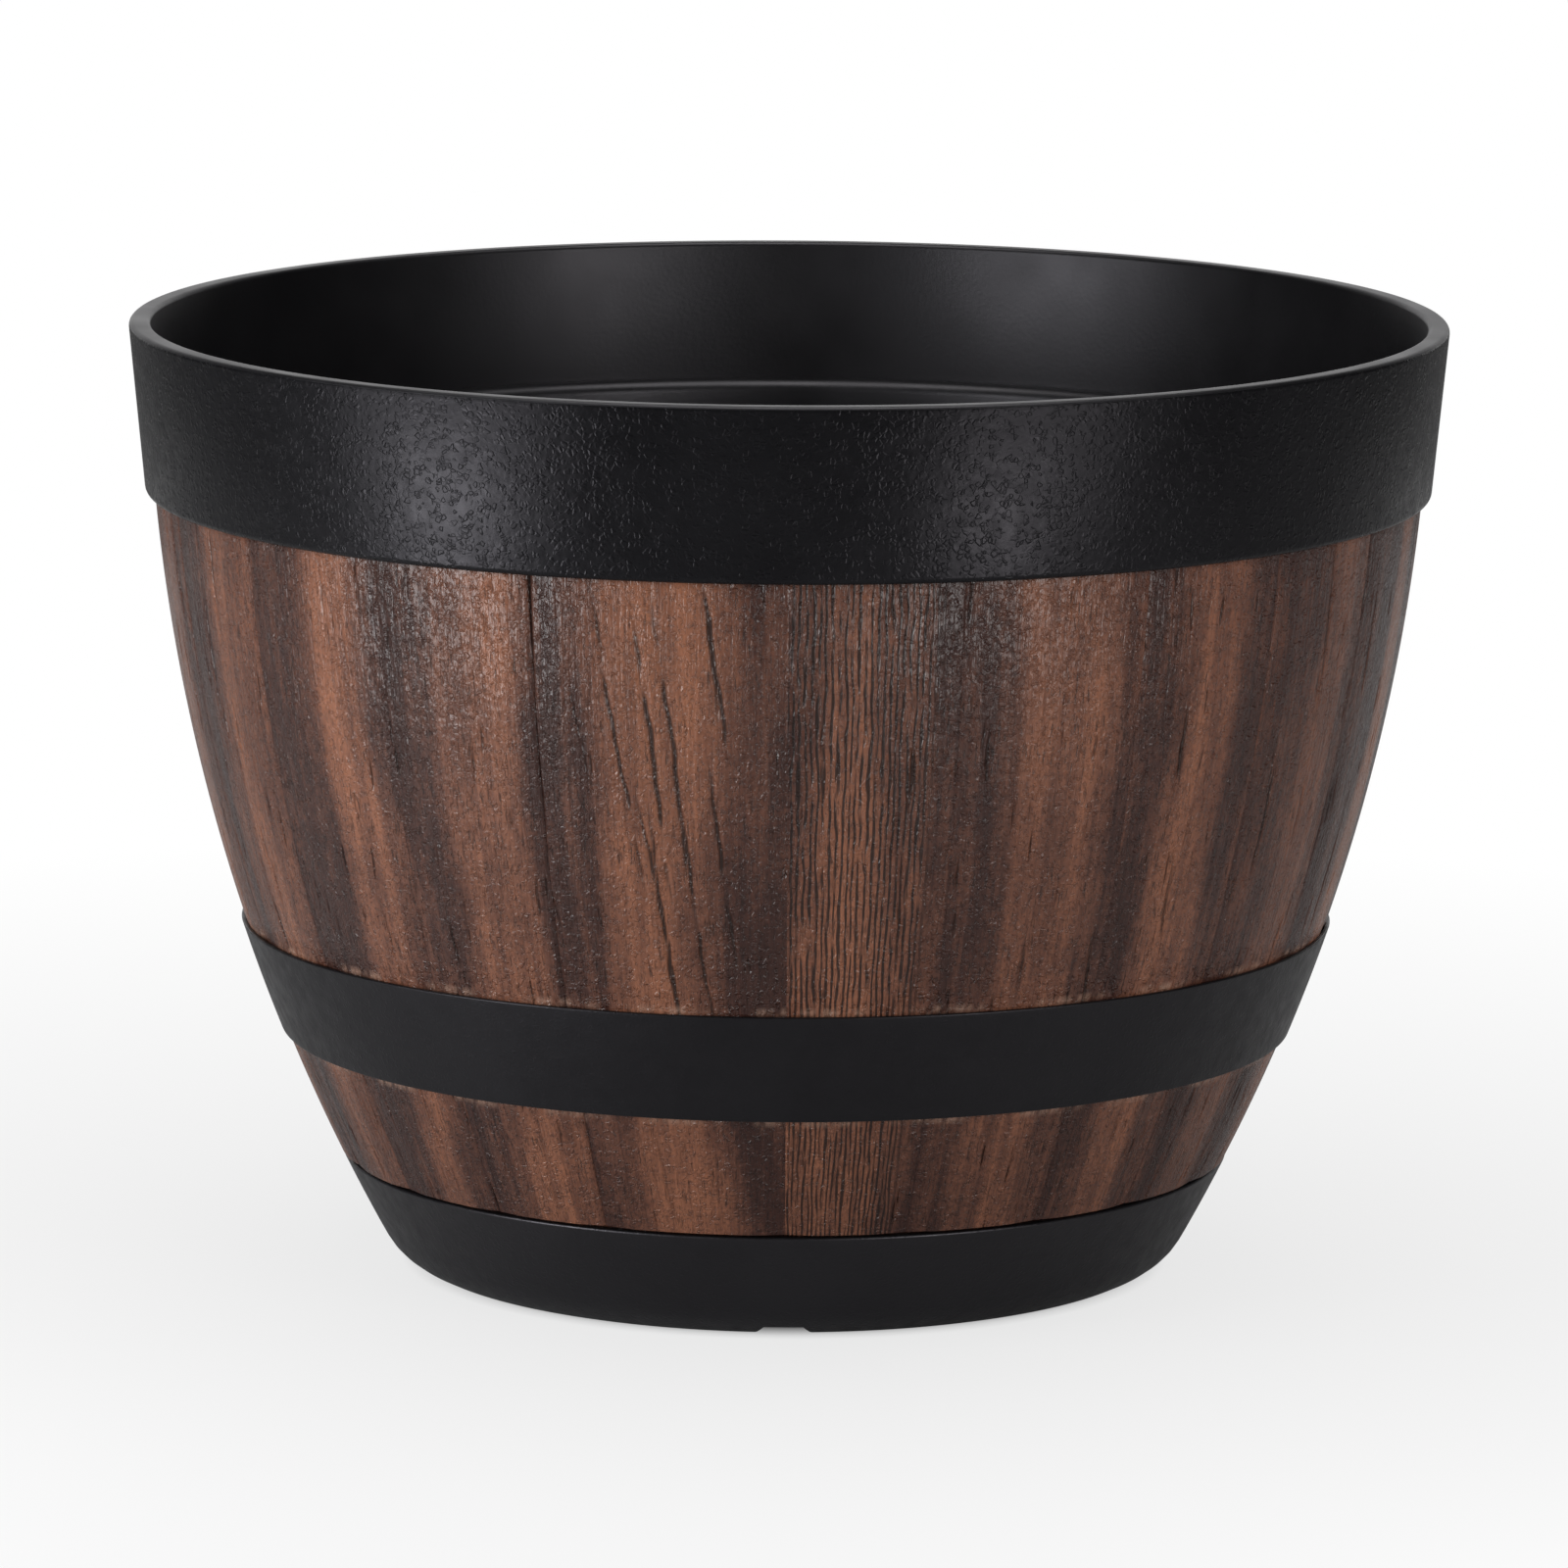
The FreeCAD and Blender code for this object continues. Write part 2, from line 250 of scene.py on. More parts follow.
def noise(material, place, scale, detail, roughness=0.5):
    """Noise over a piece, as a node that gives a level and a colour."""
    inputs = {"Vector": place, "Scale": scale, "Detail": detail, "Roughness": roughness}
    return node(material, "ShaderNodeTexNoise", inputs)


def band(material, value, low, high):
    """A smooth rise from 0 to 1 between two levels of a value."""
    return node(
        material,
        "ShaderNodeMapRange",
        {0: value, 1: low, 2: high, 3: 0.0, 4: 1.0},
        interpolation_type="SMOOTHSTEP",
    ).outputs[0]


def shade(material, amount, stops):
    """Colours or greys along a scale, as pairs of place and colour."""
    scale = node(material, "ShaderNodeValToRGB", {0: amount})
    scale.color_ramp.elements[0].position = stops[0][0]
    scale.color_ramp.elements[0].color = stops[0][1]
    scale.color_ramp.elements[1].position = stops[-1][0]
    scale.color_ramp.elements[1].color = stops[-1][1]
    for place, colour in stops[1:-1]:
        scale.color_ramp.elements.new(place).color = colour
    return scale.outputs[0]


def patches(material, amount, low, high):
    """Two colours or greys that a noise mixes in soft patches."""
    return shade(material, amount, list(zip(patch_edges, (low, high))))


def grey(level):
    """A grey of a level, as a colour."""
    return (level, level, level, 1)


def embossed(material, relief, depth):
    """The surface raised and sunk by a relief, to a depth in metres."""
    inputs = {"Height": relief, "Strength": 1.0, "Distance": depth}
    return node(material, "ShaderNodeBump", inputs).outputs[0]


def new_finish(name):
    """An empty material, with its surface shader and the object's own coordinates."""
    finish = bpy.data.materials.new(name)
    finish.use_nodes = True
    place = node(finish, "ShaderNodeTexCoord").outputs["Object"]
    return finish, finish.node_tree.nodes["Principled BSDF"], place


def pebbles(material, place, size):
    """Height of a moulded leather grain: flat pebbles of a size, with narrow grooves between them."""
    drift = noise(material, place, pebble_drift / size, pebble_detail)
    push = node(
        material,
        "ShaderNodeVectorMath",
        {0: drift.outputs["Color"], 1: (size, size, size)},
        operation="MULTIPLY",
    )
    moved = node(material, "ShaderNodeVectorMath", {0: place, 1: push.outputs[0]}, operation="ADD")
    spread = {"Vector": moved.outputs[0], "Scale": 1 / size}
    grooves = node(material, "ShaderNodeTexVoronoi", spread, feature="DISTANCE_TO_EDGE").outputs["Distance"]
    cells = node(material, "ShaderNodeTexVoronoi", spread, feature="F1").outputs["Color"]
    rise = band(material, node(material, "ShaderNodeSeparateXYZ", {0: cells}).outputs[0], lowest_pebble, 1.0)
    tops = maths(material, "MULTIPLY", band(material, grooves, 0.0, pebble_groove), rise)
    return maths(material, "MULTIPLY_ADD", drift.outputs[0], drift_height, tops)


def grained_black(name, dullness, shine, grain_size, grain_depth):
    """Black moulded plastic with a pebble grain, a little dust in it and patches of rubbed gloss."""
    finish, surface, place = new_finish(name)
    dust = noise(finish, place, dust_scale, dust_detail).outputs[0]
    gloss = noise(finish, place, gloss_scale, gloss_detail).outputs[0]
    inputs = {
        "Base Color": patches(finish, dust, *dusty_black),
        "Roughness": patches(finish, gloss, grey(dullness - gloss_gain), grey(dullness + gloss_loss)),
        "Normal": embossed(finish, pebbles(finish, place, grain_size), grain_depth),
        "Specular IOR Level": shine,
        "Specular Tint": black_tint,
    }
    set_inputs(finish, surface, inputs)
    return finish


shoe_black = grained_black("shoe_black", shoe_dullness, shoe_shine, fine_grain, faint_relief)
base_shoe.data.materials.append(shoe_black)
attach(base_shoe, "barrel")
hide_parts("base_shoe")

# Staves: twenty-one curved, tapering boards of wood-effect plastic, side by side round the barrel.
# Each has a rebated tongue at its foot that stands in the shoe, eased long edges, and a face
# moulded with cracks, pores and a pebble grain, toned light along its middle and dark at its edges.
# Just under the collar, the face's colour carries a painted shade.
stave_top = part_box("stave_01")[1].z
shoulder_level = 0.0271
tongue_depth = 0.003
face_rows = 112
tongue_rows = 3
back_rows = 14
column_width = 0.00042
hoop_bottom, hoop_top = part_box("lower_hoop")[0].z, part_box("lower_hoop")[1].z
collar_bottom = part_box("rim_collar")[0].z

# Seven kinds of stave make a set, by the degrees that each takes up. The first is split, the second combed.
stave_sets = 3
stave_shares = [22.9, 15.3, 17.6, 15.4, 15.7, 17.3, 15.8]
split_kind = 0
combed_kind = 1
last_kind = len(stave_shares) - 1
first_joint = -22.8
joint_gap = 0.00001

# The wood finish: fineness of each mark per millimetre across and along the grain, with its detail,
# then where each mark starts and is full, its share of the tone, the browns and the gloss.
grain_fineness = {
    "streak": (0.13, 0.010, 1.5),
    "ribbon": (0.36, 0.014, 1.5),
    "fibre": (1.1, 0.050, 3),
    "pore": (1.50, 0.170, 3),
    "cluster": (0.07, 0.045, 2),
    "speck": (1.15, 0.70, 2),
    "drift": (0.22, 0.050, 2),
    "broken": (0.60, 0.085, 2),
}
grain_roughness = 0.65
blot_scale = 520.0
blot_detail = 4
blot_roughness = 0.7
pore_range = (0.57, 0.68)
cluster_range = (0.30, 0.60)
pore_strength = 0.75
pit_range = (0.53, 0.66)
pit_strength = 0.36
comb_sway = 2.6
comb_pitch = 1.4
comb_range = (-0.05, 0.75)
broken_range = (0.32, 0.50)
crack_and_shade_range = (0.12, 0.80)
line_and_shade_strength = 0.90
streak_range = (0.24, 0.76)
ribbon_range = (0.26, 0.74)
stripe_share = 0.42
streak_share = 0.28
ribbon_share = 0.11
fibre_share = 0.36
blot_share = 0.46
cluster_share = 0.36
tone_offset = 0.545
wood_tones = [
    (0.02, (0.021, 0.0087, 0.0072, 1)),
    (0.25, (0.043, 0.0173, 0.0127, 1)),
    (0.50, (0.112, 0.0448, 0.0278, 1)),
    (0.76, (0.212, 0.0840, 0.0465, 1)),
    (1.00, (0.285, 0.1120, 0.0590, 1)),
]
# The dark brown of the cracks, pores and lines. It also paints the shade under the collar.
crack_and_shade_brown = (0.011, 0.0065, 0.0055, 1)
worn_brown = (0.33, 0.20, 0.145, 1)
wood_dullness = [grey(0.30), grey(0.48)]
wood_shine = 0.08
varnish_weight = 0.48
varnish_dullness = 0.12
wood_pebble = 0.0012
fibre_height = 1.2
line_height = -1.6
wood_relief = 0.00022


def grain_noise(finish, place, across, along, detail):
    """Noise drawn out along the grain, by its fineness per millimetre across and along."""
    spread = node(finish, "ShaderNodeMapping", {0: place, "Scale": (across, along, 1.0)})
    return noise(finish, spread.outputs[0], 1.0, detail, grain_roughness).outputs[0]


def mix(finish, amount, first, second):
    """One colour laid over another by an amount."""
    inputs = {0: amount, 6: first, 7: second}
    return node(finish, "ShaderNodeMix", inputs, data_type="RGBA").outputs[2]


def wood_effect():
    """Painted wood-effect plastic: brown tones from each stave's stripe, streaks, fibres and cracks, and a
    painted shade under the collar.
    """
    finish, surface, place = new_finish("wood_effect")
    along = node(finish, "ShaderNodeAttribute", attribute_name="grain_place").outputs["Vector"]
    stripe, crack, combed, rubbed = [
        node(finish, "ShaderNodeAttribute", attribute_name=title).outputs["Fac"]
        for title in ("light_stripe", "crack", "combed", "rubbed")
    ]
    marks = {name: grain_noise(finish, along, *fineness) for name, fineness in grain_fineness.items()}
    blot = noise(finish, place, blot_scale, blot_detail, blot_roughness).outputs[0]
    clusters = band(finish, marks["cluster"], *cluster_range)
    pores = maths(finish, "MULTIPLY", band(finish, marks["pore"], *pore_range), clusters)
    pores = maths(finish, "MULTIPLY", pores, pore_strength)
    pits = maths(finish, "MULTIPLY", band(finish, marks["speck"], *pit_range), pit_strength)
    across = node(finish, "ShaderNodeSeparateXYZ", {0: along}).outputs[0]
    swayed = maths(finish, "MULTIPLY_ADD", marks["drift"], comb_sway, across)
    comb = maths(finish, "SINE", maths(finish, "MULTIPLY", swayed, math.tau / comb_pitch))
    breaks = band(finish, marks["broken"], *broken_range)
    comb = maths(finish, "MULTIPLY", band(finish, comb, *comb_range), breaks)
    comb = maths(finish, "MULTIPLY", comb, combed)
    lines_and_shade = maths(finish, "MAXIMUM", pores, pits)
    lines_and_shade = maths(finish, "MAXIMUM", lines_and_shade, comb)
    # The crack attribute also holds the painted shade under the collar, so that shade is darkened here with
    # the cracks.
    lines_and_shade = maths(finish, "MAXIMUM", lines_and_shade, band(finish, crack, *crack_and_shade_range))
    tone = maths(finish, "MULTIPLY", stripe, stripe_share)
    for amount, share in (
        (band(finish, marks["streak"], *streak_range), streak_share),
        (band(finish, marks["ribbon"], *ribbon_range), ribbon_share),
        (marks["fibre"], fibre_share),
        (blot, blot_share),
        (marks["cluster"], cluster_share),
    ):
        tone = maths(finish, "MULTIPLY_ADD", amount, share, tone)
    tone = maths(finish, "SUBTRACT", tone, tone_offset)
    wood = shade(finish, tone, wood_tones)
    cracked_and_shaded = mix(finish, maths(finish, "MULTIPLY", lines_and_shade, line_and_shade_strength), wood, crack_and_shade_brown)
    relief = pebbles(finish, place, wood_pebble)
    relief = maths(finish, "MULTIPLY_ADD", marks["fibre"], fibre_height, relief)
    relief = maths(finish, "MULTIPLY_ADD", lines_and_shade, line_height, relief)
    raised = embossed(finish, relief, wood_relief)
    inputs = {
        "Base Color": mix(finish, rubbed, cracked_and_shaded, worn_brown),
        "Roughness": patches(finish, blot, *wood_dullness),
        "Normal": raised,
        "Specular IOR Level": wood_shine,
        "Coat Weight": varnish_weight,
        "Coat Roughness": varnish_dullness,
        "Coat Normal": raised,
    }
    set_inputs(finish, surface, inputs)
    return finish


# The moulded marks: places, lengths and widths on the face are in millimetres, across it and down from
# the rim. Radii, depths, rubs and the painted shade under the collar are in metres. Strengths and the light
# stripe's sizes are shares.
first_seed = 410
millimetres_per_metre = 1000
grain_radius = 0.140
grain_step = 40.0
stroke_places = (32, 200)
stroke_wavers = [(0.30, 8.7), (0.16, 3.1), (0.10, 1.3)]
long_pause = 6.8
short_pause = 2.9
short_pause_share = 0.7
pause_offset = 0.8
pause_edge = 0.5
pause_strength = 0.40
split_count = 11
split_spread = (-10, 18)
split_slant = (0.08, 0.16)
splits = {"lengths": (35, 95), "widths": (0.40, 0.64), "strengths": (0.8, 1.0)}
crack_count = 4
plain_slant = (-0.02, 0.03)
short_cracks = {"lengths": (20, 60), "widths": (0.38, 0.60), "strengths": (0.5, 0.9)}
pore_density = 2.4
pore_strokes = {"lengths": (3, 14), "widths": (0.25, 0.45), "strengths": (0.25, 0.8)}
low_face = 155
low_crack_share = 0.45
collar_reach = 39.5
joint_least = 0.16
joint_under_collar = 0.70
joint_fade = 30
joint_wave = 0.10
joint_wave_length = 7
joint_width = 0.45
soft_joint_share = 0.3
combed_edge = (0.78, 0.92)
combed_elsewhere = 0.12
light_middles = [0.47, 0.38, 0.57, 0.53, 0.67, 0.68, 0.66]
light_widths = [0.27, 0.40, 0.33, 0.31, 0.30, 0.21, 0.32]
light_strengths = [1.36, 1.12, 0.94, 0.88, 0.84, 1.12, 1.05]
stripe_steepness = 3
stripe_sways = [(0.035, 23), (0.02, 9)]
width_wave = (0.14, 29)
strength_wave = (0.14, 41)
steady_strength = 0.86
wave_starts = (0, 6)
eased_width = 0.9
valley_width = 8.0
crisp_edge_depth = 0.00028
soft_edge_depth = 0.00010
valley_depth = 0.00040
crack_depth = 0.00035
face_tolerance = 1e-5
ragged_ripples = [(0.0004, 0.9, 1), (0.0003, 2.3, 2)]
rub_ripples = [(1.0, 0.21, 1.7), (0.5, 0.6, 1)]
rub_range = (-0.9, 1.0)
rub_offset = 0.0006
rub_width = 0.0005
rub_strength = 0.6
# Painted shade: the wood's colour is darkened just under the collar's lower edge, where the collar's shadow
# falls.
painted_shade_strength = 0.42
painted_shade_reach = 0.0022


def soft_step(values, low, high):
    """A smooth rise from 0 at low to 1 at high."""
    part = np.clip((values - low) / (high - low), 0, 1)
    return part * part * (3 - 2 * part)


def strokes(draw, across, along, count, spread, slants, lengths, widths, strengths):
    """Cracks or pores: short tapering grooves along the grain, at random places within a spread."""
    groove = np.zeros(len(across))
    for _ in range(count):
        middle = draw.uniform(*spread)
        centre = draw.uniform(*stroke_places)
        half = draw.uniform(*lengths) / 2
        width = draw.uniform(*widths)
        strength = draw.uniform(*strengths)
        slant = draw.uniform(*slants)
        bends = draw.uniform(0, math.tau, len(stroke_wavers))
        waver = sum(
            size * np.sin(along / length + bend) for (size, length), bend in zip(stroke_wavers, bends)
        )
        line = middle + slant * (along - centre) + waver
        taper = np.sqrt(np.clip(1 - ((along - centre) / half) ** 2, 0, 1))
        pauses = np.sin(along / long_pause + bends[1])
        pauses = pauses + short_pause_share * np.sin(along / short_pause + bends[2]) + pause_offset
        taper *= pause_strength + (1 - pause_strength) * soft_step(pauses, -pause_edge, pause_edge)
        groove = np.maximum(groove, strength * taper * np.exp(-(((across - line) / width) ** 2)))
    return groove


def crack_marks(draw, across, along, half, kind):
    """Long slanted splits or a few short cracks, with pores all over."""
    whole_face = (-half, half)
    if kind == split_kind:
        slants = split_slant
        crack = strokes(draw, across, along, split_count, split_spread, slants, **splits)
    else:
        slants = plain_slant
        crack = strokes(draw, across, along, crack_count, whole_face, slants, **short_cracks)
    pores = strokes(draw, across, along, int(pore_density * half), whole_face, slants, **pore_strokes)
    return np.maximum(np.where(along > low_face, low_crack_share * crack, crack), pores)


def joint_marks(along, edge, crisp, number):
    """A dark line along each edge, strongest under the collar, and crisp where one set meets the next."""
    fading = joint_least + joint_under_collar * np.exp(-(along - collar_reach) / joint_fade)
    fading += joint_wave * np.sin(along / joint_wave_length + number)
    line = np.exp(-((edge / joint_width) ** 2)) * fading
    return np.where(crisp, line, soft_joint_share * line)


def wave(draw, along, size, length):
    """A slow wave along the grain that starts at a random place."""
    return size * np.sin(along / length + draw.uniform(*wave_starts))


def stripe_marks(draw, along, share, kind):
    """The stave's light stripe, which wanders and changes in width and strength along the grain."""
    sway = sum(wave(draw, along, *sizes) for sizes in stripe_sways)
    width = light_widths[kind] * (1 + wave(draw, along, *width_wave))
    stripe = np.exp(-(np.abs((share - light_middles[kind] + sway) / width) ** stripe_steepness))
    return stripe * (light_strengths[kind] * (steady_strength + wave(draw, along, *strength_wave)))


def ripple(across, number, ripples):
    """Waves across the grain, each by its size, its rate and its step from stave to stave."""
    return sum(size * np.sin(across * rate + step * number) for size, rate, step in ripples)


def rubbed_marks(across, level, number):
    """Paint rubbed pale in patches along the hoop's two edges."""
    ragged = ripple(across, number, ragged_ripples)
    over = np.exp(-(((level - hoop_top - rub_offset - ragged) / rub_width) ** 2))
    under = np.exp(-(((level - hoop_bottom + rub_offset + ragged) / rub_width) ** 2))
    patchy = soft_step(ripple(across, number, rub_ripples), *rub_range)
    return np.clip((over + under) * patchy * rub_strength, 0, 1)


def mould_face(stave, number, kind, middle, span):
    """Sinks the stave's edges, cracks and pores into its face, and keeps them, with a painted shade under
    the collar, for the finish.
    """
    mesh = stave.data
    points = np.empty(len(mesh.vertices) * 3)
    mesh.vertices.foreach_get("co", points)
    points = points.reshape(-1, 3)
    radius = np.hypot(points[:, 0], points[:, 1])
    turned = np.arctan2(points[:, 0], -points[:, 1]) - middle
    turned = (turned + math.pi) % math.tau - math.pi
    out = radius - curve_centre
    down = points[:, 2] - height
    reach = np.hypot(out, down)
    face = np.abs(reach - bulge_radius) < face_tolerance
    face &= points[:, 2] > shoulder_level - face_tolerance
    across = turned * grain_radius * millimetres_per_metre
    along = bulge_radius * np.arcsin(-down / bulge_radius) * millimetres_per_metre
    half = span * grain_radius * millimetres_per_metre / 2
    share = across / (2 * half) + 0.5
    edge = np.minimum(half - across, across + half) * radius / grain_radius
    crisp = (kind == split_kind) & (across < 0) | (kind == last_kind) & (across > 0)
    draw = np.random.default_rng(first_seed + number)
    crack = crack_marks(draw, across, along, half, kind)
    crack = np.maximum(crack, joint_marks(along, edge, crisp, number))
    stripe = stripe_marks(draw, along, share, kind)
    combed = np.full(len(across), combed_elsewhere)
    if kind == combed_kind:
        combed = 1 - soft_step(share, *combed_edge)
    eased = (1 - soft_step(edge, 0, eased_width)) ** 2
    valley = 1 - soft_step(edge, 0, valley_width)
    sink = np.where(crisp, crisp_edge_depth, soft_edge_depth) * eased
    sink = sink + valley_depth * valley + crack_depth * crack
    sink[~face] = 0
    scale = 1 - sink / reach
    factor = (curve_centre + out * scale) / radius
    points[:, 0] *= factor
    points[:, 1] *= factor
    points[:, 2] = height + down * scale
    mesh.vertices.foreach_set("co", points.ravel())
    # Painted shade under the collar. It is stored with the cracks in the crack attribute, so the finish
    # darkens it like a crack.
    painted_shade = painted_shade_strength * np.exp(-np.clip(collar_bottom - points[:, 2], 0, 1) / painted_shade_reach)
    for title, values in (
        ("light_stripe", stripe),
        ("crack", np.where(face, np.maximum(crack, painted_shade), 0)),
        ("combed", combed),
        ("rubbed", rubbed_marks(across, points[:, 2], number)),
    ):
        layer = mesh.attributes.new(title, "FLOAT", "POINT")
        layer.data.foreach_set("value", values.astype(np.float32))
    layer = mesh.attributes.new("grain_place", "FLOAT_VECTOR", "POINT")
    grain = np.column_stack([across, along, np.full(len(across), grain_step * number)])
    layer.data.foreach_set("vector", grain.astype(np.float32).ravel())
    mesh.update()


stave_section = draw_section(
    "stave_section",
    along_wall(0, stave_top, shoulder_level, face_rows)
    + along_wall(tongue_depth, shoulder_level, seat_level, tongue_rows)
    + along_wall(stave_thickness, seat_level, stave_top, back_rows),
)
wood = wood_effect()
gap = joint_gap / wall_radius
joint = math.radians(first_joint)
for number in range(1, stave_sets * len(stave_shares) + 1):
    kind = (number - 1) % len(stave_shares)
    share = math.radians(stave_shares[kind])
    stave = stave_section.copy()
    stave.data = stave_section.data.copy()
    stave.name = f"board_{number:02d}"
    stave.data.name = stave.name
    bpy.context.collection.objects.link(stave)
    stave.data.transform(Matrix.Rotation(joint + share - gap / 2 - math.pi / 2, 4, "Z"))
    turn(stave, round((share - gap) * wall_radius / column_width), share - gap)
    mould_face(stave, number, kind, joint + share / 2, share - gap)
    stave.data.materials.append(wood)
    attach(stave, "barrel")
    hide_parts(f"stave_{number:02d}")
    joint += share
bpy.data.objects.remove(stave_section)

# Lower hoop: a thin band of grained black plastic, sprung over the staves where the barrel narrows,
# as an iron hoop is driven on. It follows the wall's curve, and its two long edges are eased.
hoop_inside = -0.0001
hoop_face = -0.001
hoop_edge = 0.0003
hoop_margin = 0.001
hoop_face_steps = 10
hoop_back_steps = 8
hoop_dullness = 0.38
hoop_shine = 0.26
hoop = draw_section(
    "hoop_band",
    [(wall(hoop_inside, hoop_top), hoop_top, 0), (wall(hoop_face, hoop_top), hoop_top, hoop_edge)]
    + along_wall(hoop_face, hoop_top - hoop_margin, hoop_bottom + hoop_margin, hoop_face_steps)
    + [(wall(hoop_face, hoop_bottom), hoop_bottom, hoop_edge)]
    + along_wall(hoop_inside, hoop_bottom, hoop_top - 2 * hoop_margin, hoop_back_steps),
)
turn(hoop, ring_steps)
hoop_black = grained_black("hoop_black", hoop_dullness, hoop_shine, fine_grain, faint_relief)
hoop.data.materials.append(hoop_black)
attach(hoop, "barrel")
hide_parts("lower_hoop")

# Rim collar: the broad band of black plastic that caps the staves, rebated to sit on their tops.
# Its skirt laps over the wall and is grained outside, its lower edge is rounded, and its flat top
# and its inside are left smooth.
rim_radius = 0.1525
rim_land = 0.005
rim_round = 0.0012
skirt_face = -0.0021
skirt_inside = -0.0002
skirt_round = 0.0015
skirt_steps = 2
collar_mouth = 0.1441
mouth_edge = 0.0004
collar_dullness = 0.28
collar_shine = 0.13
collar_grain = 0.0012
collar_relief = 0.00008
upward = 0.5
collar = draw_section(
    "collar_band",
    [(rim_radius - rim_land, height, rim_round), (rim_radius, height, rim_round)]
    + [(wall(skirt_face, collar_bottom), collar_bottom, skirt_round)]
    + along_wall(skirt_inside, collar_bottom, stave_top, skirt_steps)
    + [(collar_mouth, stave_top, mouth_edge)],
)
turn(collar, ring_steps)

flow_scale = 55.0
flow_detail = 5
flow_blacks = [(0.0045, 0.0044, 0.005, 1), (0.0068, 0.0067, 0.0075, 1)]
skin_scale = 900.0
skin_detail = 2
satin_dullness = [grey(0.38), grey(0.46)]
satin_shine = 0.80
satin_tint = (0.98, 0.94, 1.0, 1)


def satin_black(name):
    """Smooth black plastic straight from a polished mould: even, with faint flow marks."""
    finish, surface, place = new_finish(name)
    flow = noise(finish, place, flow_scale, flow_detail).outputs[0]
    skin = noise(finish, place, skin_scale, skin_detail).outputs[0]
    inputs = {
        "Base Color": patches(finish, flow, *flow_blacks),
        "Roughness": patches(finish, flow, *satin_dullness),
        "Normal": embossed(finish, skin, faint_relief),
        "Specular IOR Level": satin_shine,
        "Specular Tint": satin_tint,
    }
    set_inputs(finish, surface, inputs)
    return finish


collar_black = grained_black("collar_black", collar_dullness, collar_shine, collar_grain, collar_relief)
smooth_black = satin_black("smooth_black")
collar.data.materials.append(collar_black)
collar.data.materials.append(smooth_black)
for face in collar.data.polygons:
    outwards = face.normal.x * face.center.x + face.normal.y * face.center.y
    face.material_index = int(outwards < 0 or face.normal.z > upward)
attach(collar, "barrel")
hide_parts("rim_collar")

# Liner: a smooth black plastic pot that drops into the barrel and holds the soil.
# A rolled flange hangs it on the stave tops, and four holes in its floor let water through.
liner_bottom, liner_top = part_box("liner")[0].z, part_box("liner")[1].z
flange_thickness = 0.002
flange_radius = 0.1437
flange_edge = 0.0005
flange_round = 0.003
liner_depth = 0.007
liner_wall = 0.0025
liner_floor = 0.003
liner_corner = 0.010
liner_steps = 24
face_start = liner_bottom + 0.012
inside_depth = liner_depth + liner_wall
inside_floor = liner_bottom + liner_floor
inside_start = liner_top - 0.005
inside_end = inside_floor + 0.011
drain_count = 4
drain_diameter = 0.012
drain_circle = 0.100
drain_sides = 48
liner = draw_section(
    "liner_pot",
    [(0, liner_bottom, 0)]
    + [(wall(liner_depth, liner_bottom), liner_bottom, liner_corner)]
    + along_wall(liner_depth, face_start, liner_top - flange_thickness, liner_steps)
    + [(flange_radius, liner_top - flange_thickness, flange_edge)]
    + [(flange_radius, liner_top, flange_edge)]
    + [(wall(inside_depth, liner_top), liner_top, flange_round)]
    + along_wall(inside_depth, inside_start, inside_end, liner_steps)
    + [(wall(inside_depth, inside_floor), inside_floor, liner_corner - liner_wall)]
    + [(0, inside_floor, 0)],
)
turn(liner, ring_steps)
bpy.ops.object.select_all(action="DESELECT")
bpy.ops.mesh.primitive_cylinder_add(vertices=drain_sides, radius=drain_diameter / 2, depth=4 * liner_floor)
drill = bpy.context.object
drill.location = (0, -drain_circle / 2, liner_bottom + liner_floor / 2)
bpy.ops.object.transform_apply(location=True)
for number in range(drain_count):
    cut_away(liner, drill, math.tau * number / drain_count)
bpy.data.objects.remove(drill)
liner.data.materials.append(smooth_black)
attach(liner, "liner")
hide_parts("liner")

# Studio: a pale floor, a white surround, a small key and a softbox on each side of the front,
# two softboxes behind that no surface mirrors, a panel overhead, and a long lens a little above the rim.
bpy.context.scene.view_settings.view_transform = "Standard"
floor_radius = 6.0
floor_sides = 96
floor_grey = grey(0.43)
floor_dullness = 0.9
floor_whiteness = [(0.076, grey(0)), (0.088, grey(0.76)), (0.55, grey(1))]
white = grey(1)
fill_light = 0.31
mirrored_range = (0.70, 0.97)
cool_light = (0.96, 0.98, 1.0)
plain_light = (1.0, 1.0, 1.0)

# Upright lights: bearing from the front in degrees, distance, width, lower and upper edge, watts, colour.
front_lights = {
    "left_key": (-52, 0.42, 0.12, 0.02, 0.14, 0.46, cool_light),
    "left_softbox": (-55, 0.60, 0.36, 0.01, 0.52, 2.0, cool_light),
    "right_key": (31, 0.44, 0.10, 0.02, 0.12, 0.20, plain_light),
    "right_softbox": (38, 0.60, 0.26, 0.01, 0.50, 1.2, plain_light),
}
back_lights = {
    "back_right_softbox": (140, 1.0, 0.95, 0.05, 0.80, 4.2, plain_light),
    "back_left_softbox": (-152, 1.0, 0.80, 0.05, 0.80, 3.4, plain_light),
}
overhead_width = 1.1
overhead_length = 0.9
overhead_watts = 6.0
overhead_place = (0, 0.1, 1.5)
aim = Vector((-0.0006, 0, 0.11165))
camera_rise = math.radians(9.99)
camera_distance = 2.2875
camera_roll = math.radians(0.342)
sensor_width = 36
focal_length = 225.3

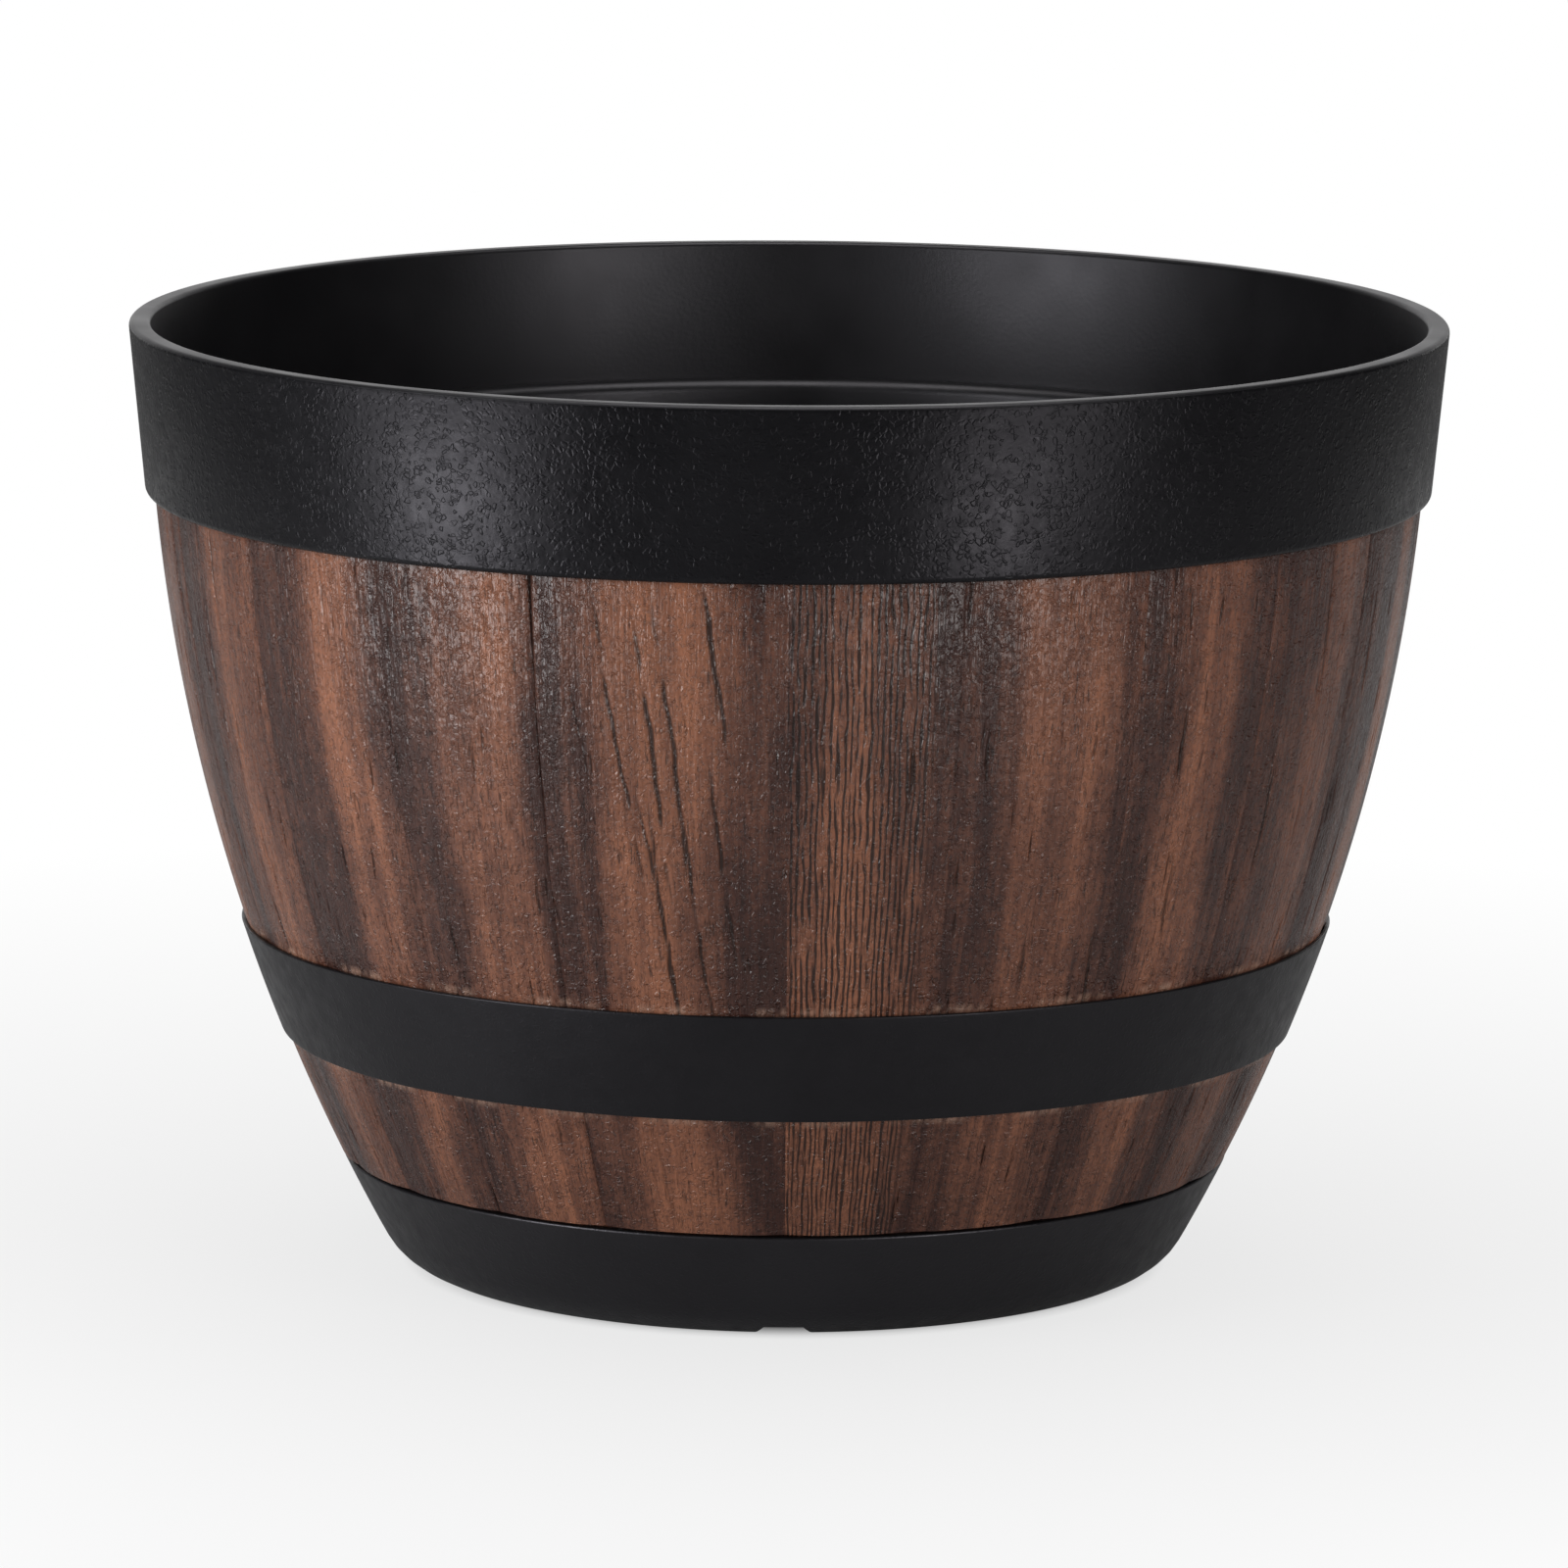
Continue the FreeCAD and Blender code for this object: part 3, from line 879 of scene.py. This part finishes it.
bpy.ops.mesh.primitive_circle_add(vertices=floor_sides, radius=floor_radius, fill_type="NGON")
ground = bpy.context.object
ground.name = "studio_floor"
paper, paper_surface, paper_place = new_finish("studio_paper")
set_inputs(paper, paper_surface, {"Base Color": floor_grey, "Roughness": floor_dullness})
glow = node(paper, "ShaderNodeEmission", {"Color": white, "Strength": 1.0})
seen = node(paper, "ShaderNodeLightPath")
spot = node(paper, "ShaderNodeVectorMath", {0: paper_place}, operation="LENGTH").outputs["Value"]
whiteness = shade(paper, spot, floor_whiteness)
direct = maths(paper, "MULTIPLY", seen.outputs["Is Camera Ray"], whiteness)
blend = node(paper, "ShaderNodeMixShader", {0: direct, 1: paper_surface.outputs[0], 2: glow.outputs[0]})
set_inputs(paper, paper.node_tree.nodes["Material Output"], {"Surface": blend.outputs[0]})
ground.data.materials.append(paper)

surround = bpy.data.worlds.new("studio_surround")
bpy.context.scene.world = surround
surround.use_nodes = True
ray = node(surround, "ShaderNodeLightPath")
behind = node(surround, "ShaderNodeTexCoord").outputs["Generated"]
behind = node(surround, "ShaderNodeSeparateXYZ", {0: behind}).outputs[1]
behind = band(surround, behind, *mirrored_range)
mirrored = maths(surround, "MULTIPLY", ray.outputs["Is Glossy Ray"], behind)
shown = maths(surround, "MAXIMUM", ray.outputs["Is Camera Ray"], ray.outputs["Is Transmission Ray"])
shown = maths(surround, "MAXIMUM", shown, mirrored)
fill = maths(surround, "MULTIPLY", ray.outputs["Is Diffuse Ray"], fill_light)
strength = maths(surround, "MAXIMUM", shown, fill)
set_inputs(surround, surround.node_tree.nodes["Background"], {"Color": white, "Strength": strength})


def panel(name, width, length, watts, colour):
    """A soft rectangular light that the camera doesn't see."""
    lamp = bpy.data.lights.new(name, "AREA")
    lamp.shape = "RECTANGLE"
    lamp.size = width
    lamp.size_y = length
    lamp.energy = watts
    lamp.color = colour
    stand = bpy.data.objects.new(name, lamp)
    bpy.context.collection.objects.link(stand)
    stand.visible_camera = False
    return stand


def softbox(name, bearing, distance, width, low, high, watts, colour):
    """An upright panel that faces the barrel, at a bearing from the front, between two levels."""
    stand = panel(name, width, high - low, watts, colour)
    around = math.radians(bearing)
    away = Vector((math.sin(around), -math.cos(around), 0))
    stand.location = away * distance + Vector((0, 0, (low + high) / 2))
    stand.rotation_euler = away.to_track_quat("Z", "Y").to_euler()
    return stand


for name, setting in front_lights.items():
    softbox(name, *setting)
for name, setting in back_lights.items():
    softbox(name, *setting).visible_glossy = False
overhead = panel("top_softbox", overhead_width, overhead_length, overhead_watts, plain_light)
overhead.location = overhead_place

lens = bpy.data.cameras.new("photo_camera")
lens.sensor_width = sensor_width
lens.lens = focal_length
camera = bpy.data.objects.new("photo_camera", lens)
bpy.context.collection.objects.link(camera)
camera.location = aim + Vector((0, -math.cos(camera_rise), math.sin(camera_rise))) * camera_distance
level = Matrix.Rotation(math.pi / 2 - camera_rise, 4, "X")
camera.rotation_euler = (level @ Matrix.Rotation(camera_roll, 4, "Z")).to_euler()
bpy.context.scene.camera = camera
